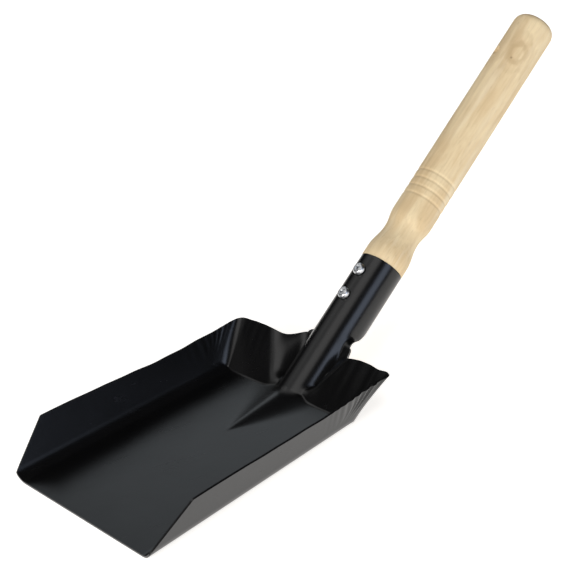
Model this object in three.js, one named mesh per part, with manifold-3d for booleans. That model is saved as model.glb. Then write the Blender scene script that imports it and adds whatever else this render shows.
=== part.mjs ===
// A hand shovel: a pressed steel scoop whose tongue is rolled into a socket, a turned wooden handle
// driven into that socket, and two pan-head screws that hold the handle.
// Millimetres and degrees. +Z is up, +Y runs from the front lip to the handle, and the origin is the
// middle of the floor's underside. The handle's own frame has its axis along +Y and "up" along +Z.
import * as THREE from "three";
import { mergeGeometries, mergeVertices } from "three/addons/utils/BufferGeometryUtils.js";
import Module from "manifold-3d";

const wasm = await Module();
wasm.setup();

// Sheet and tray
const SHEET = 1.2;
const FLOOR_LENGTH = 156;
const FRONT_WIDTH = 129;
const HEEL_WIDTH = 118.4;
const SIDE_SLOPE = 68;
const HEEL_SLOPE = 43.5;
const SIDE_BEND_RADIUS = 9.3;
const HEEL_BEND_RADIUS = 3.5;
const FRONT_RIM_HEIGHT = 26.4;
const WAIST_RIM_HEIGHT = 23.4;
const CORNER_RIM_HEIGHT = 24.4;
const HEEL_RIM_HEIGHT = 24.4;
const WAIST_PLACE = 0.72;
const FRONT_CUT_START = 4.2;
const FRONT_SETBACK = 28.5;
const CORNER_RADIUS_AT_FLOOR = 5;
const CORNER_RADIUS_AT_RIM = 8.5;
const CORNER_FLARE = 2.8;

// Pressed nose on the floor, in front of the socket
const NOSE_LENGTH = 49;
const NOSE_WIDTH = 36;
const NOSE_HEIGHT = 4.8;
const NOSE_FULLNESS = 0.85;
const NOSE_FADE_UP_WALL = 3;

// Socket rolled from the sheet
const SOCKET_OUTSIDE = 29.2;
const SOCKET_SLOPE = 33;
const SOCKET_BEHIND_HEEL = 15.8;
const SOCKET_MOUTH = 90.3;
const CHANNEL_SPREAD = 76;
const CHANNEL_FILLET = 4;
const VALLEY_DEPTH = 11;
const VALLEY_REACH = 20;
const NOTCH_START = 31.3;
const NOTCH_OVERHANG = 4.9;
const SEAM_CLOSED_AT = 66;
const SEAM_GAP = 3.6;

// Turned handle
const GRIP_DIAMETER = 28.2;
const GRIP_LENGTH = 198.5;
const SHOULDER_DIAMETER = 29.4;
const NECK_DIAMETER = 24.5;
const SHOULDER_CHAMFER = 0.3;
const SWELL_PLACE = 6.5;
const NECK_PLACE = 24.5;
const NECK_LENGTH = 38;
const NECK_PULL = 0.43;
const END_ROUNDING = 7;
const GROOVE_COUNT = 4;
const GROOVE_PITCH = 6;
const GROOVE_DEPTH = 0.45;
const GROOVE_WIDTH = 1.6;
const FIRST_GROOVE = 50;
const TENON_LENGTH = 56;
const TENON_TAPER_LENGTH = 12;
const TENON_TIP_DIAMETER = 13;
const HANG_HOLE_DIAMETER = 5.5;
const HANG_HOLE_FROM_END = 33.5;
const HANG_HOLE_TURN = -22;

// Screws
const SCREW_NAMES = ["upper_screw", "lower_screw"];
const SCREW_PITCH = 18.2;
const FIRST_SCREW_BELOW_MOUTH = 11.3;
const SCREW_HEAD_DIAMETER = 8;
const SCREW_HEAD_HEIGHT = 2.9;
const SCREW_HEAD_RIM = 0.6;
const SCREW_FLAT_DIAMETER = 4;
const SCREW_SHANK_DIAMETER = 4.2;
const SCREW_LENGTH = 18;
const SCREW_POINT = 4;
const RECESS_WIDTH = 4.6;
const RECESS_SLOT = 1.1;
const RECESS_DEPTH = 1.9;
const RECESS_TURN = 45;

// Clearances
const TENON_CLEARANCE = 0.5;
const SEAT_GAP = 0.3;
const HOLE_CLEARANCE = 0.3;

// Dependent sizes
const radians = THREE.MathUtils.degToRad;
const mix = THREE.MathUtils.lerp;
const ease = (value) => THREE.MathUtils.smoothstep(value, 0, 1);
const FLOOR_MIDDLE = SHEET / 2;
const FRONT_Y = -FLOOR_LENGTH / 2;
const HEEL_Y = FLOOR_LENGTH / 2;
const SOCKET_RADIUS = (SOCKET_OUTSIDE - SHEET) / 2;
const SOCKET_BORE_RADIUS = SOCKET_RADIUS - SHEET / 2;
const SOCKET_TOP = SOCKET_OUTSIDE / 2;
const TENON_RADIUS = SOCKET_BORE_RADIUS - TENON_CLEARANCE;
const VALLEY_EDGE = SOCKET_RADIUS + VALLEY_REACH;
const NOTCH_EDGE = SOCKET_RADIUS + NOTCH_OVERHANG;
const TONGUE_EDGE_OPEN = radians(CHANNEL_SPREAD) + NOTCH_OVERHANG / SOCKET_RADIUS;
const TONGUE_EDGE_CLOSED = Math.PI - SEAM_GAP / SOCKET_OUTSIDE;
const AXIS_FOOT = new THREE.Vector3(0, HEEL_Y + SOCKET_BEHIND_HEEL, 0);
const AXIS_TURN = new THREE.Euler(radians(SOCKET_SLOPE), 0, 0);
const AXIS_ALONG = new THREE.Vector3(0, 1, 0).applyEuler(AXIS_TURN);
const AXIS_UP = new THREE.Vector3(0, 0, 1).applyEuler(AXIS_TURN);

// How near two corners are to be the same one
const WELD_DISTANCE = 1e-4;
const SHEET_WELD_DISTANCE = 1e-3;

// How finely the curves and the sheet are divided
const BEND_ROWS = 3;
const WALL_ROWS = 5;
const CORNER_STEPS = 6;
const SIDE_STATIONS = [0, 0.2, 0.4, 0.56, 0.66, 0.73, 0.79, 0.85, 0.91, 0.96, 1];
const CHANNEL_STEPS = 7;
const OVERHANG_SHARES = [0.33, 0.66, 1];
const VALLEY_SHARES = [0.25, 0.5, 0.75, 1];
const HEEL_SHARES = [0.4, 0.8];
const CLOSING_ROWS = 13;
const STRAIGHT_ROWS = 3;
const ROUND_SEGMENTS = 32;
const HOLE_SEGMENTS = 16;
const SCREW_SEGMENTS = 24;
const HANDLE_CURVE_STEPS = 7;
const SCREW_CURVE_STEPS = 4;

// ---- Solids and cuts ----

function toSolid(geometry) {
  const plain = geometry.clone();
  plain.deleteAttribute("normal");
  plain.deleteAttribute("uv");
  const merged = mergeVertices(plain, WELD_DISTANCE);
  return new wasm.Manifold(
    new wasm.Mesh({
      numProp: 3,
      vertProperties: new Float32Array(merged.attributes.position.array),
      triVerts: new Uint32Array(merged.index.array),
    }),
  );
}

function toGeometry(solid) {
  const mesh = solid.getMesh();
  const geometry = new THREE.BufferGeometry();
  geometry.setAttribute("position", new THREE.BufferAttribute(new Float32Array(mesh.vertProperties), 3));
  geometry.setIndex(new THREE.BufferAttribute(new Uint32Array(mesh.triVerts), 1));
  return geometry;
}

function cutAway(geometry, cutters) {
  const solid = cutters.reduce((left, cutter) => left.subtract(toSolid(cutter)), toSolid(geometry));
  return toGeometry(solid);
}

// ---- Scoop blade: the middle surface of the sheet ----

const halfWidthAt = (y) => mix(FRONT_WIDTH, HEEL_WIDTH, (y - FRONT_Y) / FLOOR_LENGTH) / 2;

// One row of a bent wall's profile: how far out from the fold line it is, and how high.
function wallProfile(row, slope, bendRadius, rimHeight) {
  const angle = radians(slope);
  const tangent = bendRadius * Math.tan(angle / 2);
  if (row <= BEND_ROWS) {
    const turned = (angle * row) / BEND_ROWS;
    return { out: bendRadius * Math.sin(turned) - tangent, height: bendRadius * (1 - Math.cos(turned)) };
  }
  const height = mix(tangent * Math.sin(angle), rimHeight, (row - BEND_ROWS) / WALL_ROWS);
  return { out: height / Math.tan(angle), height };
}

// The rim dips to a waist along each side, and rises again into the drawn corner.
function sideRim(station) {
  if (station < WAIST_PLACE) return mix(FRONT_RIM_HEIGHT, WAIST_RIM_HEIGHT, ease(station / WAIST_PLACE));
  return mix(WAIST_RIM_HEIGHT, CORNER_RIM_HEIGHT, ease((station - WAIST_PLACE) / (1 - WAIST_PLACE)));
}

// A column of the wall runs up the sheet at one place round the tray: side, corner or heel.
function wallPoint(column, row) {
  const side = wallProfile(row, SIDE_SLOPE, SIDE_BEND_RADIUS, column.rim);
  const heel = wallProfile(row, HEEL_SLOPE, HEEL_BEND_RADIUS, column.rim);
  const risen = Math.max(0, row - BEND_ROWS) / WALL_ROWS;
  const radius = mix(CORNER_RADIUS_AT_FLOOR, CORNER_RADIUS_AT_RIM, risen);
  const cornerY = HEEL_Y + heel.out - radius;
  const cornerX = halfWidthAt(cornerY) + side.out - radius;
  if (column.zone === "side") {
    const cut = Math.max(0, side.height - FRONT_CUT_START) / (column.rim - FRONT_CUT_START);
    const frontY = FRONT_Y + FRONT_SETBACK * cut;
    const y = mix(frontY, cornerY, column.station);
    return new THREE.Vector3(column.hand * (halfWidthAt(y) + side.out), y, FLOOR_MIDDLE + side.height);
  }
  if (column.zone === "corner") {
    const flared = radius + CORNER_FLARE * risen ** 2 * Math.sin(2 * column.turn) ** 2;
    const x = cornerX + flared * Math.cos(column.turn);
    const y = cornerY + flared * Math.sin(column.turn);
    const height = mix(side.height, heel.height, ease(column.turn / (Math.PI / 2)));
    return new THREE.Vector3(column.hand * x, y, FLOOR_MIDDLE + height);
  }
  const place = Math.abs(column.place);
  const spare = Math.max(0, place - VALLEY_EDGE) / (HEEL_WIDTH / 2 - VALLEY_EDGE);
  const x = Math.min(place, VALLEY_EDGE) + spare * (cornerX - VALLEY_EDGE);
  const hand = Math.sign(column.place);
  return pressed(new THREE.Vector3(hand * x, HEEL_Y + heel.out, FLOOR_MIDDLE + heel.height), risen);
}

// Height of the pointed nose above the floor.
function noseHeight(x, y, risen) {
  const along = Math.min(1, (y - HEEL_Y + NOSE_LENGTH) / NOSE_LENGTH);
  if (along <= 0) return 0;
  const across = Math.abs(x) / ((NOSE_WIDTH / 2) * along ** NOSE_FULLNESS);
  return NOSE_HEIGHT * along * Math.max(0, 1 - across) * Math.max(0, 1 - NOSE_FADE_UP_WALL * risen);
}

function smoothMax(a, b, blend) {
  const near = Math.max(blend - Math.abs(a - b), 0) / blend;
  return Math.max(a, b) + (near * near * blend) / 4;
}

// Presses the nose, the round channel under the socket and the valleys beside it into the flat sheet.
function pressed(base, risen) {
  const x = Math.abs(base.x);
  const raised = base.clone();
  raised.z += noseHeight(x, base.y, risen);
  const offset = raised.clone().sub(AXIS_FOOT);
  const inward = ease((VALLEY_EDGE - x) / (VALLEY_EDGE - NOTCH_EDGE));
  const wallAlong = offset.dot(AXIS_ALONG);
  const along = mix(wallAlong, NOTCH_START, risen > 0 ? inward ** 2 * risen ** 3 : 0);
  const sheetUp = offset.dot(AXIS_UP) - VALLEY_DEPTH * inward * ease(risen);
  const roundUp = x < SOCKET_RADIUS ? Math.sqrt(SOCKET_RADIUS ** 2 - x * x) : -SOCKET_OUTSIDE;
  const up = x < NOTCH_EDGE ? smoothMax(sheetUp, roundUp, CHANNEL_FILLET) : sheetUp;
  return onSocket(base.x, up, along);
}

function onSocket(x, up, along) {
  return AXIS_FOOT.clone().addScaledVector(AXIS_ALONG, along).addScaledVector(AXIS_UP, up).setX(x);
}

// Places across the heel: round the channel by angle, then out to the corner.
function heelPlaces() {
  const places = [];
  for (let step = 0; step <= CHANNEL_STEPS; step++) {
    places.push(SOCKET_RADIUS * Math.sin(radians((CHANNEL_SPREAD * step) / CHANNEL_STEPS)));
  }
  const channelEdge = places[CHANNEL_STEPS];
  for (const share of OVERHANG_SHARES) places.push(mix(channelEdge, NOTCH_EDGE, share));
  for (const share of VALLEY_SHARES) places.push(mix(NOTCH_EDGE, VALLEY_EDGE, share));
  for (const share of HEEL_SHARES) places.push(mix(VALLEY_EDGE, HEEL_WIDTH / 2, share));
  return places;
}
const HEEL_PLACES = heelPlaces();
const TONGUE_STEPS = HEEL_PLACES.indexOf(NOTCH_EDGE);

// Every column of the wall, from the left front corner round the heel to the right front corner.
function wallColumns() {
  const half = SIDE_STATIONS.map((station) => ({ zone: "side", station, rim: sideRim(station) }));
  for (let step = 1; step <= CORNER_STEPS; step++) {
    const share = step / CORNER_STEPS;
    const rim = mix(CORNER_RIM_HEIGHT, HEEL_RIM_HEIGHT, share);
    half.push({ zone: "corner", turn: (share * Math.PI) / 2, rim });
  }
  for (const place of [...HEEL_PLACES].reverse()) {
    half.push({ zone: "heel", place, rim: HEEL_RIM_HEIGHT });
  }
  const mirrored = (hand) => half.map((column) => ({ ...column, hand, place: hand * column.place }));
  return [...mirrored(-1), ...mirrored(1).reverse().slice(1)];
}
const COLUMNS = wallColumns();
const FLOOR_ROWS = SIDE_STATIONS.length - 1 + CORNER_STEPS / 2;
const FLOOR_COLUMNS = COLUMNS.length - 1 - 2 * FLOOR_ROWS;

// A flat grid from (0, 0) to (1, 1), each of whose corners is moved to where place(column, row) says.
function patch(columns, rows, place) {
  const grid = new THREE.PlaneGeometry(1, 1, columns, rows);
  const position = grid.attributes.position;
  for (let i = 0; i < position.count; i++) {
    const column = Math.round((position.getX(i) + 0.5) * columns);
    const row = Math.round((position.getY(i) + 0.5) * rows);
    position.setXYZ(i, ...place(column, row));
  }
  grid.deleteAttribute("normal");
  grid.deleteAttribute("uv");
  return grid;
}

const flatFold = (index) => {
  const column = COLUMNS[index];
  if (column.zone !== "heel") return wallPoint(column, 0);
  const { out } = wallProfile(0, HEEL_SLOPE, HEEL_BEND_RADIUS, column.rim);
  return new THREE.Vector3(wallPoint(column, 0).x, HEEL_Y + out, FLOOR_MIDDLE);
};

// The floor fills the space inside the three folds; its outer rows are the walls' first rows.
function floorPoint(column, row) {
  const left = flatFold(row);
  const right = flatFold(COLUMNS.length - 1 - row);
  const rear = flatFold(FLOOR_ROWS + column);
  const [frontLeft, frontRight] = [flatFold(0), flatFold(COLUMNS.length - 1)];
  const [rearLeft, rearRight] = [flatFold(FLOOR_ROWS), flatFold(FLOOR_ROWS + FLOOR_COLUMNS)];
  const across = (rear.x - rearLeft.x) / (rearRight.x - rearLeft.x);
  const back = (left.y - frontLeft.y) / (rearLeft.y - frontLeft.y);
  const front = frontLeft.clone().lerp(frontRight, across);
  const corners = front.clone().lerp(rearLeft.clone().lerp(rearRight, across), back);
  const point = front.lerp(rear, back).add(left.lerp(right, across)).sub(corners);
  return pressed(point, 0);
}

// The tongue leaves the heel wall between the two notches and closes round the handle.
function tongueAlong(row) {
  if (row <= CLOSING_ROWS) return mix(NOTCH_START, SEAM_CLOSED_AT, row / CLOSING_ROWS);
  return mix(SEAM_CLOSED_AT, SOCKET_MOUTH, (row - CLOSING_ROWS) / STRAIGHT_ROWS);
}

function tonguePoint(column, row) {
  const place = HEEL_PLACES[Math.abs(column - TONGUE_STEPS)];
  const hand = Math.sign(column - TONGUE_STEPS);
  const rootColumn = { zone: "heel", place: hand * place, rim: HEEL_RIM_HEIGHT };
  const root = wallPoint(rootColumn, BEND_ROWS + WALL_ROWS);
  if (row === 0) return root;
  const along = tongueAlong(row);
  const closed = ease(row / CLOSING_ROWS);
  const edge = mix(TONGUE_EDGE_OPEN, TONGUE_EDGE_CLOSED, closed);
  const angle = (edge * (column - TONGUE_STEPS)) / TONGUE_STEPS;
  const round = new THREE.Vector2(Math.sin(angle), Math.cos(angle)).multiplyScalar(SOCKET_RADIUS);
  const settled = ease((along - NOTCH_START) / (2 * NOTCH_OVERHANG));
  const rootUp = root.clone().sub(AXIS_FOOT).dot(AXIS_UP);
  const section = new THREE.Vector2(root.x, rootUp).lerp(round, settled);
  section.setLength(Math.max(section.length(), SOCKET_RADIUS));
  return onSocket(section.x, section.y, along);
}

// Gives a sheet its thickness: half to each side of the middle surface, closed along its edges.
function thicken(surface, thickness) {
  const middle = mergeVertices(surface, SHEET_WELD_DISTANCE);
  middle.computeVertexNormals();
  const { position, normal } = middle.attributes;
  const faces = middle.index.array;
  const points = [];
  for (const way of [0.5, -0.5]) {
    for (let i = 0; i < position.count; i++) {
      const point = new THREE.Vector3().fromBufferAttribute(position, i);
      const outward = new THREE.Vector3().fromBufferAttribute(normal, i);
      points.push(...point.addScaledVector(outward, way * thickness));
    }
  }
  const under = position.count;
  const edges = new Map();
  const index = [];
  for (let f = 0; f < faces.length; f += 3) {
    const [a, b, c] = faces.slice(f, f + 3);
    index.push(a, b, c, under + c, under + b, under + a);
    for (const [from, to] of [[a, b], [b, c], [c, a]]) {
      if (!edges.delete(`${to} ${from}`)) edges.set(`${from} ${to}`, [from, to]);
    }
  }
  for (const [from, to] of edges.values()) {
    index.push(to, from, under + from, to, under + from, under + to);
  }
  const geometry = new THREE.BufferGeometry();
  geometry.setAttribute("position", new THREE.Float32BufferAttribute(points, 3));
  geometry.setIndex(index);
  return geometry;
}

function bladeSheet() {
  const floor = patch(FLOOR_COLUMNS, FLOOR_ROWS, floorPoint);
  const wallPlace = (column, row) => wallPoint(COLUMNS[column], row);
  const walls = patch(COLUMNS.length - 1, BEND_ROWS + WALL_ROWS, wallPlace);
  const tongue = patch(2 * TONGUE_STEPS, CLOSING_ROWS + STRAIGHT_ROWS, tonguePoint);
  return thicken(mergeGeometries([floor, walls, tongue]), SHEET);
}

// ---- Handle and screws, in the handle's own frame ----

const screwPlace = (index) => SOCKET_MOUTH - FIRST_SCREW_BELOW_MOUTH - index * SCREW_PITCH;
const screwPlaces = SCREW_NAMES.map((_, index) => screwPlace(index));

function crossDrill(diameter, length, along, fromAxis, turn = 0) {
  const drill = new THREE.CylinderGeometry(diameter / 2, diameter / 2, length, HOLE_SEGMENTS);
  drill.rotateX(Math.PI / 2).translate(0, 0, fromAxis + length / 2);
  return drill.rotateY(radians(turn)).translate(0, along, 0);
}

// Each hole is deeper than its screw by the gap under the screw's head.
function shankHoles() {
  const diameter = SCREW_SHANK_DIAMETER + 2 * HOLE_CLEARANCE;
  const through = SCREW_LENGTH + SHEET;
  return screwPlaces.map((along) => crossDrill(diameter, through, along, SOCKET_TOP - SCREW_LENGTH));
}

function handleProfile() {
  const grip = GRIP_DIAMETER / 2;
  const neck = NECK_DIAMETER / 2;
  const swell = SHOULDER_DIAMETER / 2;
  const tenonStart = SOCKET_MOUTH - TENON_LENGTH;
  const shoulderY = SOCKET_MOUTH + SEAT_GAP;
  const swellY = SOCKET_MOUTH + SWELL_PLACE;
  const neckY = SOCKET_MOUTH + NECK_PLACE;
  const gripY = SOCKET_MOUTH + NECK_LENGTH;
  const end = SOCKET_MOUTH + GRIP_LENGTH;
  const path = new THREE.Path();
  path.moveTo(0, tenonStart);
  path.lineTo(TENON_TIP_DIAMETER / 2, tenonStart);
  path.lineTo(TENON_RADIUS, tenonStart + TENON_TAPER_LENGTH);
  path.lineTo(TENON_RADIUS, shoulderY);
  path.lineTo(swell - SHOULDER_CHAMFER, shoulderY);
  path.lineTo(swell, swellY);
  const pull = (from, to) => mix(from, to, NECK_PULL);
  path.bezierCurveTo(swell, pull(swellY, neckY), neck, pull(neckY, swellY), neck, neckY);
  path.bezierCurveTo(neck, pull(neckY, gripY), grip, pull(gripY, neckY), grip, gripY);
  for (let groove = 0; groove < GROOVE_COUNT; groove++) {
    const y = SOCKET_MOUTH + FIRST_GROOVE + groove * GROOVE_PITCH;
    path.lineTo(grip, y - GROOVE_WIDTH / 2);
    path.lineTo(grip - GROOVE_DEPTH, y);
    path.lineTo(grip, y + GROOVE_WIDTH / 2);
  }
  path.lineTo(grip, end - END_ROUNDING);
  path.quadraticCurveTo(grip, end, grip - END_ROUNDING, end);
  path.lineTo(0, end);
  return path.getPoints(HANDLE_CURVE_STEPS);
}

function handleBody() {
  const turned = new THREE.LatheGeometry(handleProfile(), ROUND_SEGMENTS);
  const holeAlong = SOCKET_MOUTH + GRIP_LENGTH - HANG_HOLE_FROM_END;
  const through = 2 * GRIP_DIAMETER;
  const hangHole = crossDrill(HANG_HOLE_DIAMETER, through, holeAlong, -through / 2, HANG_HOLE_TURN);
  return cutAway(turned, [hangHole, ...shankHoles()]);
}

function screwBody(along) {
  const head = SCREW_HEAD_DIAMETER / 2;
  const shank = SCREW_SHANK_DIAMETER / 2;
  const profile = new THREE.Path();
  profile.moveTo(0, -SCREW_LENGTH);
  profile.lineTo(shank, SCREW_POINT - SCREW_LENGTH);
  profile.lineTo(shank, 0);
  profile.lineTo(head, 0);
  profile.lineTo(head, SCREW_HEAD_RIM);
  profile.quadraticCurveTo(head, SCREW_HEAD_HEIGHT, SCREW_FLAT_DIAMETER / 2, SCREW_HEAD_HEIGHT);
  profile.lineTo(0, SCREW_HEAD_HEIGHT);
  const turned = new THREE.LatheGeometry(profile.getPoints(SCREW_CURVE_STEPS), SCREW_SEGMENTS);
  const depth = 2 * RECESS_DEPTH;
  const slots = [RECESS_TURN, RECESS_TURN + 90].map((turn) => {
    const slot = new THREE.BoxGeometry(RECESS_WIDTH, depth, RECESS_SLOT);
    return slot.rotateY(radians(turn)).translate(0, SCREW_HEAD_HEIGHT, 0);
  });
  const screw = cutAway(turned, slots);
  return screw.rotateX(Math.PI / 2).translate(0, along, SOCKET_TOP + SEAT_GAP);
}

// ---- Assembly ----

function part(name, geometry, look) {
  const mesh = new THREE.Mesh(geometry, new THREE.MeshStandardMaterial(look));
  mesh.name = name;
  return mesh;
}

const BLACK_PAINT = { color: 0x141517, roughness: 0.32, metalness: 0.2 };
const PALE_WOOD = { color: 0xd9b184, roughness: 0.6, metalness: 0 };
const BRIGHT_ZINC = { color: 0xc9ccd0, roughness: 0.28, metalness: 1 };

function drilledBlade() {
  const slope = radians(SOCKET_SLOPE);
  const drills = shankHoles().map((drill) => drill.rotateX(slope).translate(...AXIS_FOOT));
  return cutAway(bladeSheet(), drills);
}

const handleFrame = new THREE.Group();
handleFrame.rotation.copy(AXIS_TURN);
handleFrame.position.copy(AXIS_FOOT);
handleFrame.add(part("wooden_handle", handleBody(), PALE_WOOD));
SCREW_NAMES.forEach((name, index) => {
  handleFrame.add(part(name, screwBody(screwPlaces[index]), BRIGHT_ZINC));
});

const shovel = new THREE.Group();
shovel.add(part("scoop_blade", drilledBlade(), BLACK_PAINT), handleFrame);

export default shovel;
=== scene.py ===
"""A hand shovel: a black enamelled scoop pressed from one sheet, its tongue rolled into a socket, a
turned wooden handle driven into that socket, and two cross-head screws that hold the handle.

The frame is in metres, +Z up, +Y from the scoop's lip to the handle. Pieces are shaped in
millimetres and scaled to metres when they are finished."""
from math import atan2, cos, exp, hypot, pi, radians, sin, sqrt, tan

import bmesh
import bpy
from mathutils import Matrix, Quaternion, Vector
from mathutils.geometry import interpolate_bezier


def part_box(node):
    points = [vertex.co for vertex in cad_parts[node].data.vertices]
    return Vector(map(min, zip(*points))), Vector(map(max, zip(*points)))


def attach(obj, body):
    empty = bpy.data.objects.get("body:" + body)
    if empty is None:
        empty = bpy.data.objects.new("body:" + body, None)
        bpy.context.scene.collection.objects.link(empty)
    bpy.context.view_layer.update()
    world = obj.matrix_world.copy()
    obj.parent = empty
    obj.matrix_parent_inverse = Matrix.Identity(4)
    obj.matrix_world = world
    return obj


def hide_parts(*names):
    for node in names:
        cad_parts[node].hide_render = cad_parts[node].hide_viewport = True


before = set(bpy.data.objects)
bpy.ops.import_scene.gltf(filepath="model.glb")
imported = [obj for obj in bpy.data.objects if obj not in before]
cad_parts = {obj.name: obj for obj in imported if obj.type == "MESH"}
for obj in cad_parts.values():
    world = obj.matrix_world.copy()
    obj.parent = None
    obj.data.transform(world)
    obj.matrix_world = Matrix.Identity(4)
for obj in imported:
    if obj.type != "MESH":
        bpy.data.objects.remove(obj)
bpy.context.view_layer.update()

MM = 0.001

# ---- Sizes and places that the frame gives, in millimetres ----


def middle(node):
    low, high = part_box(node)
    return (low + high) / 2 / MM


def reach(node, direction):
    """How far a node goes along a direction: its lowest and highest place."""
    places = [direction.dot(vertex.co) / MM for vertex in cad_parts[node].data.vertices]
    return min(places), max(places)


SIDE = Vector((1, 0, 0))
ALONG = (middle("upper_screw") - middle("lower_screw")).normalized()
UP = SIDE.cross(ALONG)
SOCKET_SLOPE = atan2(ALONG.z, ALONG.y)
AXIS_FOOT = Vector((0, -sum(reach("wooden_handle", UP)) / 2 / sin(SOCKET_SLOPE), 0))
FOOT_ALONG = AXIS_FOOT.dot(ALONG)
FOOT_UP = AXIS_FOOT.dot(UP)

# The visible sheet keeps this far inside the solid one.
INSIDE = 0.02
FRONT_Y = reach("scoop_blade", Vector((0, 1, 0)))[0] + INSIDE
HEEL_Y = -FRONT_Y
FLOOR_LENGTH = HEEL_Y - FRONT_Y
SOCKET_MOUTH = reach("scoop_blade", ALONG)[1] - FOOT_ALONG
TENON_START, HANDLE_END = (place - FOOT_ALONG for place in reach("wooden_handle", ALONG))
SHOULDER_RADIUS = (reach("wooden_handle", UP)[1] - reach("wooden_handle", UP)[0]) / 2
SCREW_HEAD_RADIUS = reach("upper_screw", SIDE)[1]
SCREWS = ("upper_screw", "lower_screw")
SCREW_PLACES = {name: middle(name).dot(ALONG) - FOOT_ALONG for name in SCREWS}
SCREW_POINT, SCREW_TOP = (place - FOOT_UP for place in reach("upper_screw", UP))

# ---- The scoop's own sizes, in millimetres ----

SHEET = 1.2
RIM_ROUNDING = 0.25
FRONT_WIDTH = 129
HEEL_WIDTH = 118.4
SIDE_SLOPE = radians(68)
HEEL_SLOPE = radians(43.5)
SIDE_BEND_RADIUS = 9.3
HEEL_BEND_RADIUS = 3.5
FRONT_RIM = 26.4
WAIST_RIM = 23.4
CORNER_RIM = 24.4
HEEL_RIM = 24.4
WAIST_PLACE = 0.72
FRONT_CUT_START = 4.2
FRONT_SETBACK = 28.5
CORNER_RADIUS_AT_FLOOR = 5
CORNER_RADIUS_AT_RIM = 8.5
CORNER_FLARE = {-1: 0.6, 1: 2.8}

SIDE_FLUTE_PITCH = 5.6
HEEL_FLUTE_PITCH = 8.2
FLUTE_DEPTH = {-1: 0.12, 1: 0.38}
FLUTES_ALONG_SIDE = 52
FLUTES_ALONG_HEEL = 44
FLUTES_RISE = 1.25
CLEAR_CORNER = 3
FANNED_OVER = 16
RIM_WAVE = 0.35
RIM_WAVE_RISE = 1.5
# The ripples that make flutes and rim uneven: millimetres for each radian, and relative size
SLOW_WANDER = (7.5, 1.1)
QUICK_WANDER = (3.1, 0.5)
WANDER_SHIFT = 1.3
FLUTE_SWELL = (4.7, 0.4)
SLOW_RIM_WAVE = (9.3, 1)
QUICK_RIM_WAVE = (4.1, 0.8)

NOSE_LENGTH = 49
NOSE_WIDTH = 36
NOSE_HEIGHT = 4.8
NOSE_FULLNESS = 0.85
NOSE_RIDGE_ROUNDING = 0.16
NOSE_FOOT_LEFT = 0.05
NOSE_FOOT_RIGHT = 0.6
NOSE_FADE_UP_WALL = 3
NOSE_CLEAR = 11

SOCKET_RADIUS = 14
SOCKET_TOP = SOCKET_RADIUS + SHEET / 2
CHANNEL_SPREAD = radians(76)
CHANNEL_FILLET = 4
CREASE_FILLET = 2.2
WEB_SLOPE = 0.86
WEB_FOOT = 14
WEB_ROUNDING = 4
WEB_DEPTH = 11
WEB_FLOOR_ROUNDING = 2
WEB_RISE = 3
FOLD_RELIEF_SLOPE = 0.4
FOLD_RELIEF_EDGE = 19
FOLD_RELIEF_ROUNDING = 2
HEEL_CROWN = {-1: 0.3, 1: 0.7}
HEEL_CROWN_ENDS = 0.38
NOTCH_START = 31.3
NOTCH_OVERHANG = 4.9
NOTCH_EDGE = SOCKET_RADIUS + NOTCH_OVERHANG
VALLEY_WIDTH = 20
VALLEY_EDGE = SOCKET_RADIUS + VALLEY_WIDTH
SEAM_CLOSED_AT = 66
SEAM_GAP = 3.6
TONGUE_EDGE_OPEN = CHANNEL_SPREAD + NOTCH_OVERHANG / SOCKET_RADIUS
TONGUE_EDGE_CLOSED = pi - SEAM_GAP / 2 / SOCKET_TOP

# How finely the sheet is divided
BEND_ROWS = 7
WALL_ROWS = 22
PLAIN_SIDE_COLUMNS = 30
FLUTED_SIDE_COLUMNS = 56
CORNER_COLUMNS = 18
CHANNEL_COLUMNS = 16
OVERHANG_COLUMNS = 6
VALLEY_COLUMNS = 14
HEEL_COLUMNS = 22
CLOSING_ROWS = 30
STRAIGHT_ROWS = 16
HEEL_COLUMNS_REACH = 0.97
SHEET_WELD = 0.01
RIM_ANGLE = radians(50)

# ---- The handle's and screws' own sizes, in millimetres ----

GRIP_RADIUS = 14.1
NECK_RADIUS = 12.25
TENON_RADIUS = 12.9
TENON_TIP_RADIUS = 6.5
TENON_TAPER = 12
SEAT_GAP = 0.3
SWELL_PLACE = 6.5
NECK_PLACE = 24.5
NECK_LENGTH = 38
END_ROUNDING = 7
GROOVE_COUNT = 4
GROOVE_PITCH = 6
FIRST_GROOVE = 50
GROOVE_DEPTH = 0.34
GROOVE_WIDTH = 0.95
HANG_HOLE_RADIUS = 2.75
HANG_HOLE_FROM_END = 33.5
HANG_HOLE_TURN = radians(-22)
COUNTERSINK = 0.7
COUNTERSINK_REACH = 3 * COUNTERSINK
SHOULDER_EDGE = 0.3
SHOULDER_EDGE_LENGTH = 0.4
CURVE_PULL = 0.43
END_PULL = 0.66
HANDLE_SHARP = radians(42)
KNOT_FROM_END = 31.5
KNOT_TURN = radians(44)
SHANK_RADIUS = 2.1
SHANK_CLEARANCE = 0.3
SCREW_HEAD_RIM = 0.6
SCREW_FLAT_RADIUS = 2.3
SCREW_POINT_LENGTH = 4
SCREW_HEAD_EDGE = 0.15
DOME_RISE_PULL = 0.75
DOME_TOP_PULL = 0.45
SCREW_SHARP = radians(35)
SCREW_TURN = {"upper_screw": radians(28), "lower_screw": radians(52)}
RECESS_WIDTH = 4.8
RECESS_SLOT = 1.25
RECESS_DEPTH = 2.1
RECESS_FOOT = 0.35
RECESS_SLOT_TAPER = 0.3
RECESS_OVERSHOOT = 0.5
# How finely the turned pieces are divided
ROUND_STEPS = 96
SCREW_STEPS = 64
DRILL_STEPS = 48
TENON_ROWS = 12
SHOULDER_ROWS = 20
NECK_ROWS = 14
RINGED_ROWS = 120
GRIP_ROWS = 50
END_ROWS = 14
DOME_ROWS = 12
TURNED_WELD = 0.001

# ---- Camera and floor: their own sizes, in metres but for the lens in millimetres ----

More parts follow.
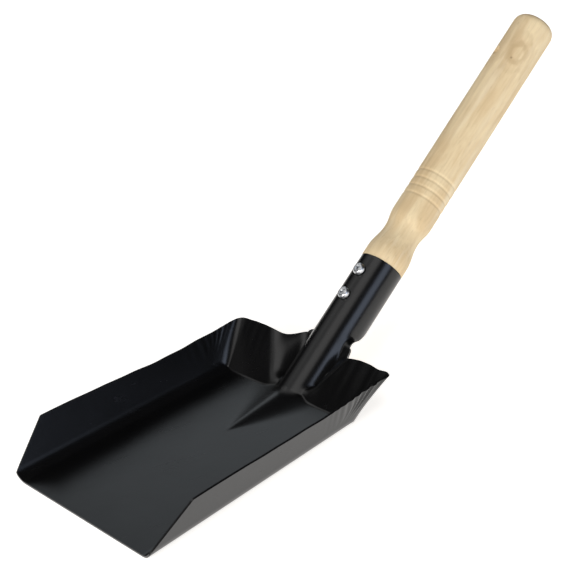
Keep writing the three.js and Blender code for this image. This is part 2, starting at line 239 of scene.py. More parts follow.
CAMERA_AZIMUTH = radians(52.59)
CAMERA_ELEVATION = radians(25.63)
CAMERA_ROLL = radians(-9.90)
CAMERA_DISTANCE = 0.9067
CAMERA_TARGET = Vector((-0.0128, 0.1011, 0.0633))
CAMERA_LENS = 93.74
FLOOR_HALF_WIDTH = 30
FLOOR_GLOW = 0.8
FLOOR_COLOUR = (0.9, 0.9, 0.9, 1)
FLOOR_GLOW_COLOUR = (1.0, 0.97, 0.93, 1)
FLOOR_ROUGHNESS = 0.9


def blend(a, b, share):
    return a + (b - a) * share


def ease(value):
    held = min(1, max(0, value))
    return held * held * (3 - 2 * held)


# ---- Camera ----


def direction(azimuth, elevation):
    """Azimuth 0 is in front of the lip and 90 to the right of the scoop."""
    return Vector((sin(azimuth) * cos(elevation), -cos(azimuth) * cos(elevation), sin(elevation)))


def set_up_camera():
    lens = bpy.data.cameras.new("camera")
    lens.lens = CAMERA_LENS
    camera = bpy.data.objects.new("camera", lens)
    back = direction(CAMERA_AZIMUTH, CAMERA_ELEVATION)
    camera.location = CAMERA_TARGET + back * CAMERA_DISTANCE
    level = (-back).to_track_quat("-Z", "Y")
    camera.rotation_mode = "QUATERNION"
    camera.rotation_quaternion = level @ Quaternion((0, 0, 1), CAMERA_ROLL)
    bpy.context.scene.collection.objects.link(camera)
    bpy.context.scene.camera = camera


# ---- Node helpers ----


def connect(tree, made, inputs):
    """Gives each socket its value, or links it to the output that stands in its place."""
    for socket, value in inputs.items():
        if isinstance(value, bpy.types.NodeSocket):
            tree.links.new(value, made.inputs[socket])
        else:
            made.inputs[socket].default_value = value


def node(tree, kind, inputs, **settings):
    made = tree.nodes.new("ShaderNode" + kind)
    for name, value in settings.items():
        setattr(made, name, value)
    connect(tree, made, inputs)
    return made


def math(tree, operation, first, second=0.0, third=0.0):
    return node(tree, "Math", {0: first, 1: second, 2: third}, operation=operation).outputs[0]


def smooth_step(tree, value, low, high):
    inputs = {"Value": value, "From Min": low, "From Max": high}
    return node(tree, "MapRange", inputs, interpolation_type="SMOOTHSTEP").outputs["Result"]


def noise(tree, vector, scale, detail=2.0, roughness=0.5, distortion=0.0):
    inputs = {
        "Vector": vector,
        "Scale": scale,
        "Detail": detail,
        "Roughness": roughness,
        "Distortion": distortion,
    }
    return node(tree, "TexNoise", inputs).outputs["Fac"]


def mix_colour(tree, factor, first, second, blend_type="MIX"):
    made = node(tree, "Mix", {"Factor": factor}, data_type="RGBA", blend_type=blend_type)
    for socket, value in ((made.inputs[6], first), (made.inputs[7], second)):
        if isinstance(value, bpy.types.NodeSocket):
            tree.links.new(value, socket)
        else:
            socket.default_value = (*value, 1)
    return made.outputs[2]


def tint(tree, colour, mask, strength, shade):
    """Mixes a shade over a colour, as far as a mask says."""
    return mix_colour(tree, math(tree, "MULTIPLY", mask, strength), colour, shade)


def add_bump(tree, shader, height, strength, distance):
    bump = node(tree, "Bump", {"Height": height, "Strength": strength, "Distance": distance})
    tree.links.new(bump.outputs[0], shader.inputs["Normal"])


def new_group(name, inputs, outputs):
    """A node group with float, vector or colour sockets: inputs and outputs give name and kind."""
    group = bpy.data.node_groups.new(name, "ShaderNodeTree")
    for in_out, sockets in (("INPUT", inputs), ("OUTPUT", outputs)):
        for socket, kind in sockets.items():
            group.interface.new_socket(name=socket, in_out=in_out, socket_type="NodeSocket" + kind)
    given = group.nodes.new("NodeGroupInput").outputs
    return group, given, group.nodes.new("NodeGroupOutput").inputs


def use_group(tree, group, inputs):
    return node(tree, "Group", inputs, node_tree=group).outputs


# ---- Light ----


def softbox_group():
    """A soft patch of light far away in one direction."""
    inputs = {
        "Ray": "Vector",
        "Direction": "Vector",
        "Inner": "Float",
        "Outer": "Float",
        "Colour": "Color",
    }
    group, given, out = new_group("softbox", inputs, {"Light": "Color"})
    ends = {0: given["Ray"], 1: given["Direction"]}
    aim = node(group, "VectorMath", ends, operation="DOT_PRODUCT").outputs["Value"]
    patch = smooth_step(group, aim, given["Outer"], given["Inner"])
    group.links.new(mix_colour(group, patch, (0, 0, 0), given["Colour"]), out["Light"])
    return group


# Each soft light: azimuth, elevation, half angle and feather in degrees, then brightness and tint
SOFTBOXES = (
    (28, 70, 13, 9, 1.3, (1.0, 0.99, 0.98)),
    (90, 22, 11, 7, 2.1, (0.78, 0.90, 1.15)),
    (-127, 26, 10, 9, 0.66, (0.92, 1.0, 1.06)),
    (-127, 8, 9, 8, 0.2, (0.92, 1.0, 1.06)),
    (-60, 64, 12, 10, 0.6, (1.0, 1.0, 1.0)),
    (-88, 48, 10, 10, 0.5, (1.0, 1.0, 1.0)),
    (-20, 24, 10, 10, 0.3, (1.0, 1.0, 1.0)),
    (15, 18, 9, 9, 10.0, (1.0, 0.99, 0.98)),
    (62, 10, 8, 8, 4.0, (1.0, 0.98, 0.92)),
)
ROOM = (0.015, 0.015, 0.016)


def light_the_studio():
    world = bpy.data.worlds.new("studio")
    bpy.context.scene.world = world
    world.use_nodes = True
    tree = world.node_tree
    background = tree.nodes["Background"]
    ray = node(tree, "TexCoord", {}).outputs["Generated"]
    group = softbox_group()
    light = node(tree, "RGB", {}).outputs[0]
    light.default_value = (*ROOM, 1)
    for azimuth, elevation, half, feather, brightness, shade in SOFTBOXES:
        lit = use_group(tree, group, {
            "Ray": ray,
            "Direction": direction(radians(azimuth), radians(elevation)),
            "Inner": cos(radians(half)),
            "Outer": cos(radians(half + feather)),
            "Colour": (*(brightness * part for part in shade), 1),
        })
        light = mix_colour(tree, 1.0, light, lit["Light"], "ADD")
    tree.links.new(light, background.inputs["Color"])
    bpy.context.scene.view_settings.view_transform = "Standard"


# ---- Shared finishes ----

# Steps say between which two values a mask goes from 0 to 1. Noises are scale, detail and then
# roughness and distortion where they aren't the usual ones.
FLAT_POINTINESS = 0.5
WEAR_DETAIL = 4.0
WEAR_PATCH_STEP = (0.38, 0.62)
WEAR_AND_SHADE_STEP = (0.1, 1.0)
DUST_FACING_STEP = (0.2, 1.0)
DUST_CLOUDS = (38.0, 5.0, 0.6)
GRAIN_TONE = (1.0, 3.0, 0.55, 0.4)
GRAIN_FIBRE = (5.0, 4.0, 0.65)


def wear_and_hollow_shade_group():
    """Edge is 1 where the surface stands proud, as on a rim, and marks wear; Hollow is 1 in grooves
    and corners, and marks where painted shade goes.
    """
    inputs = {"Vector": "Vector", "Sharpness": "Float", "Breakup": "Float"}
    group, given, out = new_group("wear_and_hollow_shade", inputs, {"Edge": "Float", "Hollow": "Float"})
    pointed = node(group, "NewGeometry", {}).outputs["Pointiness"]
    pointed = math(group, "SUBTRACT", pointed, FLAT_POINTINESS)
    sharp = math(group, "MULTIPLY", pointed, given["Sharpness"])
    patchy = noise(group, given["Vector"], given["Breakup"], WEAR_DETAIL)
    patchy = smooth_step(group, patchy, *WEAR_PATCH_STEP)
    proud = smooth_step(group, sharp, *WEAR_AND_SHADE_STEP)
    sunk = smooth_step(group, math(group, "MULTIPLY", sharp, -1.0), *WEAR_AND_SHADE_STEP)
    group.links.new(math(group, "MULTIPLY", proud, patchy), out["Edge"])
    group.links.new(sunk, out["Hollow"])
    return group


def dust_group():
    """A thin film of dust that settles on what faces up."""
    inputs = {"Vector": "Vector", "Amount": "Float"}
    group, given, out = new_group("settled_dust", inputs, {"Film": "Float"})
    normal = node(group, "NewGeometry", {}).outputs["Normal"]
    facing_up = node(group, "SeparateXYZ", {0: normal}).outputs["Z"]
    level = smooth_step(group, facing_up, *DUST_FACING_STEP)
    clouds = noise(group, given["Vector"], *DUST_CLOUDS)
    film = math(group, "MULTIPLY", math(group, "MULTIPLY", clouds, level), given["Amount"])
    group.links.new(film, out["Film"])
    return group


def grain_group():
    """Streaks that run along Y: a slow tone, and fine fibres."""
    inputs = {"Vector": "Vector", "Width": "Float", "Length": "Float"}
    group, given, out = new_group("grain", inputs, {"Tone": "Float", "Fibre": "Float"})
    across = math(group, "DIVIDE", 1.0, given["Width"])
    along = math(group, "DIVIDE", 1.0, given["Length"])
    stretch = node(group, "CombineXYZ", {0: across, 1: along, 2: across}).outputs[0]
    sides = {0: given["Vector"], 1: stretch}
    placed = node(group, "VectorMath", sides, operation="MULTIPLY").outputs[0]
    group.links.new(noise(group, placed, *GRAIN_TONE), out["Tone"])
    group.links.new(noise(group, placed, *GRAIN_FIBRE), out["Fibre"])
    return group


WEAR_AND_HOLLOW_SHADE = wear_and_hollow_shade_group()
DUST = dust_group()
GRAIN = grain_group()


def new_material(name):
    material = bpy.data.materials.new(name)
    material.use_nodes = True
    tree = material.node_tree
    return material, tree, tree.nodes["Principled BSDF"]


ENAMEL_DEEP = (0.0018, 0.0018, 0.0020)
ENAMEL_LIGHT = (0.0028, 0.0028, 0.0031)
ENAMEL_SCUFFED = (0.05, 0.052, 0.055)
ENAMEL_WORN = (0.09, 0.088, 0.085)
ENAMEL_DUST = (0.35, 0.34, 0.32)
ENAMEL_WEAR = {"Sharpness": 9.0, "Breakup": 260.0}
ENAMEL_DUSTINESS = {"Amount": 0.004}
ENAMEL_TONE = (30.0, 3.0)
ENAMEL_ROUGHNESS = 0.21
ENAMEL_ROUGHNESS_SPREAD = 0.08
DUST_ROUGHNESS = 2.0
SCUFF_SLANT = radians(24)
SCUFF_SIZE = {"Width": 0.0035, "Length": 0.05}
SCUFF_STEP = (0.62, 0.78)
SCUFF_STRENGTH = 0.02
SCUFF_ROUGHNESS = 0.04
RUB_STRENGTH = 0.35
COARSE_PEEL = (160.0, 2.0)
FINE_PEEL = (700.0, 2.0)
FINE_PEEL_SHARE = 0.5
# Bumps are strength, then depth
PEEL_BUMP = (0.12, 0.0002)


def black_enamel():
    """Semi-gloss black enamel, a little orange-peeled, with faint scuffs and a rubbed rim."""
    material, tree, shader = new_material("black_enamel")
    place = node(tree, "TexCoord", {}).outputs["Object"]
    wear_and_shade_masks = use_group(tree, WEAR_AND_HOLLOW_SHADE, {"Vector": place, **ENAMEL_WEAR})
    dust = use_group(tree, DUST, {"Vector": place, **ENAMEL_DUSTINESS})["Film"]
    slant = node(tree, "Mapping", {"Vector": place, "Rotation": (0, 0, SCUFF_SLANT)}).outputs[0]
    scuffs = use_group(tree, GRAIN, {"Vector": slant, **SCUFF_SIZE})
    scuff = smooth_step(tree, scuffs["Tone"], *SCUFF_STEP)
    tone = noise(tree, place, *ENAMEL_TONE)
    colour = mix_colour(tree, tone, ENAMEL_DEEP, ENAMEL_LIGHT)
    colour = tint(tree, colour, scuff, SCUFF_STRENGTH, ENAMEL_SCUFFED)
    colour = tint(tree, colour, wear_and_shade_masks["Edge"], RUB_STRENGTH, ENAMEL_WORN)
    colour = mix_colour(tree, dust, colour, ENAMEL_DUST)
    tree.links.new(colour, shader.inputs["Base Color"])
    rough = math(tree, "MULTIPLY_ADD", tone, ENAMEL_ROUGHNESS_SPREAD, ENAMEL_ROUGHNESS)
    rough = math(tree, "MULTIPLY_ADD", scuff, SCUFF_ROUGHNESS, rough)
    rough = math(tree, "MULTIPLY_ADD", dust, DUST_ROUGHNESS, rough)
    tree.links.new(rough, shader.inputs["Roughness"])
    fine_peel = noise(tree, place, *FINE_PEEL)
    coarse_peel = noise(tree, place, *COARSE_PEEL)
    peel = math(tree, "MULTIPLY_ADD", fine_peel, FINE_PEEL_SHARE, coarse_peel)
    add_bump(tree, shader, peel, *PEEL_BUMP)
    return material


def handle_place(tree):
    """Places in millimetres from the foot of the handle's axis: across, along and up."""
    place = node(tree, "TexCoord", {}).outputs["Object"]
    turn = Matrix.Rotation(-SOCKET_SLOPE, 3, "X")
    inputs = {
        "Vector": place,
        "Location": -(turn @ AXIS_FOOT),
        "Rotation": (-SOCKET_SLOPE, 0, 0),
        "Scale": (1 / MM, 1 / MM, 1 / MM),
    }
    return node(tree, "Mapping", inputs).outputs[0]


def distance_to(tree, place, point, squeeze=(1, 1, 1)):
    away = node(tree, "VectorMath", {0: place, 1: point}, operation="SUBTRACT").outputs[0]
    away = node(tree, "VectorMath", {0: away, 1: squeeze}, operation="MULTIPLY").outputs[0]
    return node(tree, "VectorMath", {0: away}, operation="LENGTH").outputs["Value"]


WOOD_LIGHT = (0.80, 0.65, 0.41)
WOOD_TAN = (0.69, 0.52, 0.30)
WOOD_PALE = (0.84, 0.73, 0.54)
WOOD_DEEP = (0.46, 0.31, 0.155)
WOOD_PORE = (0.24, 0.15, 0.07)
WOOD_DUST = (0.5, 0.48, 0.45)
PATCH_SIZE = {"Width": 11.0, "Length": 42.0}
STREAK_SIZE = {"Width": 4.0, "Length": 90.0}
FIBRE_SIZE = {"Width": 0.8, "Length": 24.0}
PORE_SIZE = {"Width": 0.5, "Length": 5.0}
WOOD_HOLLOW_SHADE_MASK = {"Sharpness": 14.0, "Breakup": 0.35}
WOOD_DUSTINESS = {"Amount": 0.02}
PATCH_STEP = (0.35, 0.68)
STREAK_STEP = (0.52, 0.7)
FIBRE_STEP = (0.45, 0.72)
PORE_STEP = (0.6, 0.74)
STREAK_STRENGTH = 0.35
FIBRE_STRENGTH = 0.2
PORE_STRENGTH = 0.3
# How strongly painted shade, with some grime, darkens the wood's grooves and hollows
HOLLOW_SHADE_AND_GRIME = 0.12
WOOD_ROUGHNESS = 0.45
FIBRE_ROUGHNESS = 0.2
LATE_ROUGHNESS = -0.06
WOOD_SHINE = 0.35
# How far late wood stands up and pores sink, beside the height of the fibres
LATE_HEIGHT = 0.3
PORE_HEIGHT = -0.8
WOOD_BUMP = (0.3, 0.0002)
# The pith is beside the handle, so the growth rings show as long, nearly straight lines.
PITH_PLACE = (-31, 0, -19)
PITH_STRETCH = (1, 0.015, 1)
RING_PITCH = 3.7
RING_WANDER = 6.0
LATE_RISE = (0.1, 0.8)
LATE_FALL = (0.82, 1.0)
LATE_STRENGTH = 0.16
KNOT_STRETCH = (1, 0.72, 1)
KNOT_CORE = 1.5
KNOT_NOISE = (0.25, 2.0)
KNOT_WANDER = 3.0
KNOT_PULL = -6.0
KNOT_PULL_STEP = (3.0, 16.0)
KNOT_RIM_RISE = (2.6, 4.6)
KNOT_RIM_FALL = (4.8, 8.0)
KNOT_RIM_STRENGTH = 0.42
KNOT_SHADE_STEP = (22.0, 8.0)
KNOT_SHADE_PATCH_STEP = (0.3, 0.6)
KNOT_SHADE_STRENGTH = 0.3
BUD_STEP = (1.0, 0.4)
BUD_STRENGTH = 0.6
BUD_TURN = radians(8)
BUD_DROP = 5


def band(tree, value, rise, fall):
    """1 between two soft steps, and 0 before the first and after the second."""
    return math(tree, "SUBTRACT", smooth_step(tree, value, *rise), smooth_step(tree, value, *fall))


def knot_centre(turn, from_end):
    return Vector((GRIP_RADIUS * sin(turn), HANDLE_END - from_end, GRIP_RADIUS * cos(turn)))


def pale_wood():
    """Blond turned wood: soft patches and streaks, faint rings, pores, a knot near the end, and
    painted shade with some grime in the grooves and hollows.
    """
    material, tree, shader = new_material("pale_wood")
    place = handle_place(tree)
    patches = use_group(tree, GRAIN, {"Vector": place, **PATCH_SIZE})["Tone"]
    streaks = use_group(tree, GRAIN, {"Vector": place, **STREAK_SIZE})["Tone"]
    fine = use_group(tree, GRAIN, {"Vector": place, **FIBRE_SIZE})
    pores = use_group(tree, GRAIN, {"Vector": place, **PORE_SIZE})["Tone"]
    wear_and_shade_masks = use_group(tree, WEAR_AND_HOLLOW_SHADE, {"Vector": place, **WOOD_HOLLOW_SHADE_MASK})
    dust = use_group(tree, DUST, {"Vector": place, **WOOD_DUSTINESS})["Film"]
    knot = distance_to(tree, place, knot_centre(KNOT_TURN, KNOT_FROM_END), KNOT_STRETCH)
    knot = math(tree, "SUBTRACT", knot, KNOT_CORE)
    knot = math(tree, "MULTIPLY_ADD", noise(tree, place, *KNOT_NOISE), KNOT_WANDER, knot)
    near_knot = math(tree, "SUBTRACT", 1.0, smooth_step(tree, knot, *KNOT_PULL_STEP))
    pith = distance_to(tree, place, PITH_PLACE, PITH_STRETCH)
    ring_place = math(tree, "MULTIPLY_ADD", streaks, RING_WANDER, pith)
    ring_place = math(tree, "MULTIPLY_ADD", near_knot, KNOT_PULL, ring_place)
    ring = math(tree, "FRACT", math(tree, "DIVIDE", ring_place, RING_PITCH))
    late = band(tree, ring, LATE_RISE, LATE_FALL)
    patch = smooth_step(tree, patches, *PATCH_STEP)
    fibre = smooth_step(tree, fine["Tone"], *FIBRE_STEP)
    streak = smooth_step(tree, streaks, *STREAK_STEP)
    pore = smooth_step(tree, pores, *PORE_STEP)
    knot_rim = band(tree, knot, KNOT_RIM_RISE, KNOT_RIM_FALL)
    around_knot = smooth_step(tree, knot, *KNOT_SHADE_STEP)
    knot_patch = smooth_step(tree, patches, *KNOT_SHADE_PATCH_STEP)
    knot_shade = math(tree, "MULTIPLY", around_knot, knot_patch)
    bud = distance_to(tree, place, knot_centre(KNOT_TURN - BUD_TURN, KNOT_FROM_END + BUD_DROP))
    bud = smooth_step(tree, bud, *BUD_STEP)
    colour = mix_colour(tree, patch, WOOD_LIGHT, WOOD_TAN)
    for mask, strength, shade in (
        (late, LATE_STRENGTH, WOOD_DEEP),
        (fibre, FIBRE_STRENGTH, WOOD_DEEP),
        (streak, STREAK_STRENGTH, WOOD_PALE),
        (pore, PORE_STRENGTH, WOOD_PORE),
        (knot_rim, KNOT_RIM_STRENGTH, WOOD_DEEP),
        (knot_shade, KNOT_SHADE_STRENGTH, WOOD_DEEP),
        (bud, BUD_STRENGTH, WOOD_PORE),
        # Painted shade, with some grime, in the grooves and hollows
        (wear_and_shade_masks["Hollow"], HOLLOW_SHADE_AND_GRIME, WOOD_PORE),
    ):
        colour = tint(tree, colour, mask, strength, shade)
    colour = mix_colour(tree, dust, colour, WOOD_DUST)
    tree.links.new(colour, shader.inputs["Base Color"])
    rough = math(tree, "MULTIPLY_ADD", fine["Fibre"], FIBRE_ROUGHNESS, WOOD_ROUGHNESS)
    rough = math(tree, "MULTIPLY_ADD", late, LATE_ROUGHNESS, rough)
    tree.links.new(rough, shader.inputs["Roughness"])
    height = math(tree, "MULTIPLY_ADD", late, LATE_HEIGHT, fine["Fibre"])
    height = math(tree, "MULTIPLY_ADD", pore, PORE_HEIGHT, height)
    add_bump(tree, shader, height, *WOOD_BUMP)
    shader.inputs["Specular IOR Level"].default_value = WOOD_SHINE
    return material


ZINC_DULL = (0.62, 0.64, 0.67)
ZINC_CLEAR = (0.78, 0.79, 0.80)
# Near-black painted shade for the cross and the other hollows of the head
ZINC_RECESS_SHADE = (0.05, 0.05, 0.05)
ZINC_DUST = (0.4, 0.38, 0.35)
ZINC_RECESS_SHADE_MASK = {"Sharpness": 5.0, "Breakup": 900.0}
ZINC_DUSTINESS = {"Amount": 0.06}
ZINC_MOTTLE = (1400.0, 3.0)
ZINC_ROUGHNESS = 0.2
ZINC_ROUGHNESS_SPREAD = 0.16
MOTTLE_BUMP = (0.1, 0.00005)


def bright_zinc():
    """Bright zinc plate with a faint crystal mottle, and painted shade inside the cross."""
    material, tree, shader = new_material("bright_zinc")
    place = node(tree, "TexCoord", {}).outputs["Object"]
    wear_and_shade_masks = use_group(tree, WEAR_AND_HOLLOW_SHADE, {"Vector": place, **ZINC_RECESS_SHADE_MASK})
    dust = use_group(tree, DUST, {"Vector": place, **ZINC_DUSTINESS})["Film"]
    mottle = noise(tree, place, *ZINC_MOTTLE)
    colour = mix_colour(tree, mottle, ZINC_DULL, ZINC_CLEAR)
    # Painted shade inside the cross and the other hollows
    colour = mix_colour(tree, wear_and_shade_masks["Hollow"], colour, ZINC_RECESS_SHADE)
    colour = mix_colour(tree, dust, colour, ZINC_DUST)
    tree.links.new(colour, shader.inputs["Base Color"])
    rough = math(tree, "MULTIPLY_ADD", mottle, ZINC_ROUGHNESS_SPREAD, ZINC_ROUGHNESS)
    tree.links.new(rough, shader.inputs["Roughness"])
    add_bump(tree, shader, mottle, *MOTTLE_BUMP)
    shader.inputs["Metallic"].default_value = 1.0
    return material


# ---- Scoop: the middle surface of its sheet ----


def half_width(y):
    return blend(FRONT_WIDTH, HEEL_WIDTH, (y - FRONT_Y) / FLOOR_LENGTH) / 2


def wall_profile(row, slope, bend, rim):
    """How far out from the fold line and how high a bent wall is, at one row of the sheet."""
    tangent = bend * tan(slope / 2)
    if row <= BEND_ROWS:
        turned = slope * row / BEND_ROWS
        return bend * sin(turned) - tangent, bend * (1 - cos(turned))
    height = blend(tangent * sin(slope), rim, (row - BEND_ROWS) / WALL_ROWS)
    return height / tan(slope), height


def side_rim(station):
    """The rim dips to a waist along each side, and rises again into the drawn corner."""
    if station < WAIST_PLACE:
        return blend(FRONT_RIM, WAIST_RIM, ease(station / WAIST_PLACE))
    return blend(WAIST_RIM, CORNER_RIM, ease((station - WAIST_PLACE) / (1 - WAIST_PLACE)))


def ripple(distance, shape, shift):
    slowness, size = shape
    return size * sin(distance / slowness + shift)


def flute(distance, fluted, pitch, risen, hand):
    """How far the gathers beside a drawn corner push the wall out. Distance is from the corner,
    forwards along a side or inwards along the heel. They die away over the fluted length."""
    fade = ease(1 - distance / fluted) * ease(distance / CLEAR_CORNER)
    uneven = ripple(distance, SLOW_WANDER, WANDER_SHIFT * hand) + ripple(distance, QUICK_WANDER, 0)
    wave = sin(2 * pi * distance / pitch + uneven + hand) + ripple(distance, FLUTE_SWELL, hand)
    return FLUTE_DEPTH[hand] * fade * ease(FLUTES_RISE * risen) * wave


def rim_wave(hand, distance):
    """The rim isn't quite straight: it wanders a little, most towards the corner."""
    wander = ripple(distance, SLOW_RIM_WAVE, 2 * hand) + ripple(distance, QUICK_RIM_WAVE, hand)
    from_front = ease(distance / FLOOR_LENGTH * RIM_WAVE_RISE)
    from_corner = ease((FLOOR_LENGTH - distance) / SIDE_FLUTE_PITCH)
    return -RIM_WAVE * (1 + wander) / 2 * from_front * from_corner


def side_point(hand, station, row):
    rim = side_rim(station) + rim_wave(hand, station * FLOOR_LENGTH)
    out, height = wall_profile(row, SIDE_SLOPE, SIDE_BEND_RADIUS, rim)
    risen = max(0, row - BEND_ROWS) / WALL_ROWS
    corner = corner_centre(row, rim)
    cut = max(0, height - FRONT_CUT_START) / (rim - FRONT_CUT_START)
    y = blend(FRONT_Y + FRONT_SETBACK * cut, corner.y, station)
    beside = corner.y - y
    upright = corner_centre(BEND_ROWS + WALL_ROWS, CORNER_RIM).y - y
    fanned = blend(beside, upright, ease(beside / FANNED_OVER))
    push = flute(fanned, FLUTES_ALONG_SIDE, SIDE_FLUTE_PITCH, risen, hand)
    x = half_width(y) + out + push * sin(SIDE_SLOPE)
    return Vector((hand * x, y, SHEET / 2 + height - push * cos(SIDE_SLOPE)))


def corner_radius(row):
    return blend(CORNER_RADIUS_AT_FLOOR, CORNER_RADIUS_AT_RIM, max(0, row - BEND_ROWS) / WALL_ROWS)


def corner_centre(row, rim):
    """The middle of a drawn corner's arc, on the right-hand side."""
    side_out = wall_profile(row, SIDE_SLOPE, SIDE_BEND_RADIUS, rim)[0]
    heel_out = wall_profile(row, HEEL_SLOPE, HEEL_BEND_RADIUS, rim)[0]
    y = HEEL_Y + heel_out - corner_radius(row)
    return Vector((half_width(y) + side_out - corner_radius(row), y, 0))


def corner_point(hand, turn, row):
    share = turn / (pi / 2)
    rim = blend(CORNER_RIM, HEEL_RIM, share)
    side_height = wall_profile(row, SIDE_SLOPE, SIDE_BEND_RADIUS, rim)[1]
    heel_height = wall_profile(row, HEEL_SLOPE, HEEL_BEND_RADIUS, rim)[1]
    risen = max(0, row - BEND_ROWS) / WALL_ROWS
    centre = corner_centre(row, rim)
    radius = corner_radius(row) + CORNER_FLARE[hand] * risen ** 2 * sin(2 * turn) ** 2
    x = centre.x + radius * cos(turn)
    y = centre.y + radius * sin(turn)
    return Vector((hand * x, y, SHEET / 2 + blend(side_height, heel_height, ease(share))))


def heel_point(place, row):
    """Place is how far across the heel. Past the valley it is stretched to reach the corner."""
    hand = 1 if place > 0 else -1
    spare = max(0, abs(place) - VALLEY_EDGE) / (HEEL_WIDTH / 2 - VALLEY_EDGE)
    rim = HEEL_RIM + HEEL_CROWN[hand] * ease(min(spare, 1 - spare) / HEEL_CROWN_ENDS)
    out, height = wall_profile(row, HEEL_SLOPE, HEEL_BEND_RADIUS, rim)
    risen = max(0, row - BEND_ROWS) / WALL_ROWS
    corner = corner_centre(row, HEEL_RIM)
    x = min(abs(place), VALLEY_EDGE) + spare * (corner.x - VALLEY_EDGE)
    push = flute(corner.x - x, FLUTES_ALONG_HEEL, HEEL_FLUTE_PITCH, risen, hand)
    y = HEEL_Y + fold_relief(x) * (1 - risen) + out + push * sin(HEEL_SLOPE)
    return pressed(Vector((hand * x, y, SHEET / 2 + height - push * cos(HEEL_SLOPE))), risen)


def fold_relief(x):
    """Beside the channel the heel's fold stands back, so the channel's flanks reach the floor."""
    inside_edge = FOLD_RELIEF_EDGE - max(abs(x), NOSE_CLEAR)
    return FOLD_RELIEF_SLOPE * smooth_max(inside_edge, 0, FOLD_RELIEF_ROUNDING)


def nose_height(x, y, risen):
    """Height of the pointed nose that is pressed up in front of the socket."""
    along = min(1, (y - HEEL_Y + NOSE_LENGTH) / NOSE_LENGTH)
    if along <= 0:
        return 0
    across = abs(x) / (NOSE_WIDTH / 2 * along ** NOSE_FULLNESS)
    rounded = sqrt(across ** 2 + NOSE_RIDGE_ROUNDING ** 2) - NOSE_RIDGE_ROUNDING / 2
    spread_out = smooth_max(1 - rounded, 0, NOSE_FOOT_LEFT if x < 0 else NOSE_FOOT_RIGHT)
    return NOSE_HEIGHT * along * spread_out * max(0, 1 - NOSE_FADE_UP_WALL * risen)


def smooth_max(a, b, fillet):
    """The larger of two heights, with their crossing filled by a fillet."""
    near = max(fillet - abs(a - b), 0) / fillet
    return max(a, b) + near * near * fillet / 4


def pressed(base, risen):
    """Presses the nose, the channel under the socket and the webs beside it into the flat sheet."""
    x = abs(base.x)
    raised = base + Vector((0, 0, nose_height(x, base.y, risen))) - AXIS_FOOT
    inward = ease((VALLEY_EDGE - x) / (VALLEY_EDGE - NOTCH_EDGE))
    web = WEB_SLOPE * (blend(WEB_FOOT, VALLEY_EDGE, risen) - x)
    rounded = smooth_max(web, 0, WEB_ROUNDING)
    web = -smooth_max(-rounded, -WEB_DEPTH, WEB_FLOOR_ROUNDING) * ease(WEB_RISE * risen)
    along = blend(raised.dot(ALONG), NOTCH_START, inward ** 2 * risen ** 3)
    sheet_up = raised.dot(UP) - web
    if x >= NOTCH_EDGE:
        return on_socket(base.x, sheet_up, along)
    far_below = -2 * SOCKET_RADIUS
    round_up = sqrt(SOCKET_RADIUS ** 2 - x * x) if x < SOCKET_RADIUS else far_below
    fillet = blend(CREASE_FILLET, CHANNEL_FILLET, ease(risen))
    return on_socket(base.x, smooth_max(sheet_up, round_up, fillet), along)


def on_socket(x, up, along):
    return AXIS_FOOT + ALONG * along + UP * up + SIDE * x


def spread(start, end, count):
    """Places after start, evenly spaced, with the last at end."""
    return [blend(start, end, (step + 1) / count) for step in range(count)]


def heel_places():
    """Places across the heel: round the channel by angle, then out to the corner."""
    turns = [0] + spread(0, CHANNEL_SPREAD, CHANNEL_COLUMNS)
    places = [SOCKET_RADIUS * sin(turn) for turn in turns]
    places += spread(places[-1], NOTCH_EDGE, OVERHANG_COLUMNS)
    places += spread(NOTCH_EDGE, VALLEY_EDGE, VALLEY_COLUMNS)
    corner = VALLEY_EDGE + HEEL_COLUMNS_REACH * (HEEL_WIDTH / 2 - VALLEY_EDGE)
    return places + spread(VALLEY_EDGE, corner, HEEL_COLUMNS)


HEEL_PLACES = heel_places()
TONGUE_COLUMNS = CHANNEL_COLUMNS + OVERHANG_COLUMNS


def wall_columns():
    """Every column of the wall, from the left front corner round the heel to the right front.
    Each is a function with the hand and the place that it's given; the heel needs no hand."""
    fluted_from = 1 - FLUTES_ALONG_SIDE / FLOOR_LENGTH
    stations = [0] + spread(0, fluted_from, PLAIN_SIDE_COLUMNS)
    stations += spread(fluted_from, 1, FLUTED_SIDE_COLUMNS)
    half = [(side_point, station) for station in stations]
    half += [(corner_point, turn) for turn in spread(0, pi / 2, CORNER_COLUMNS)]
    left = [(make, -1, place) for make, place in half]
    heel = [(heel_point, None, -place) for place in reversed(HEEL_PLACES)]
    heel += [(heel_point, None, place) for place in HEEL_PLACES[1:]]
    return left + heel + [(make, 1, place) for make, place in reversed(half)]


COLUMNS = wall_columns()
FLOOR_ROWS = PLAIN_SIDE_COLUMNS + FLUTED_SIDE_COLUMNS + CORNER_COLUMNS // 2
FLOOR_COLUMNS = len(COLUMNS) - 1 - 2 * FLOOR_ROWS


def wall_point(column, row):
    make, hand, place = COLUMNS[column]
    return make(place, row) if hand is None else make(hand, place, row)


def flat_fold(index):
    """Where a column's wall leaves the flat floor, before the nose and channel are pressed."""
    make, hand, place = COLUMNS[index]
    if hand is not None:
        return make(hand, place, 0)
    pressed_point = heel_point(place, 0)
    out = wall_profile(0, HEEL_SLOPE, HEEL_BEND_RADIUS, HEEL_RIM)[0]
    return Vector((pressed_point.x, HEEL_Y + fold_relief(place) + out, SHEET / 2))


FOLDS = [flat_fold(index) for index in range(len(COLUMNS))]


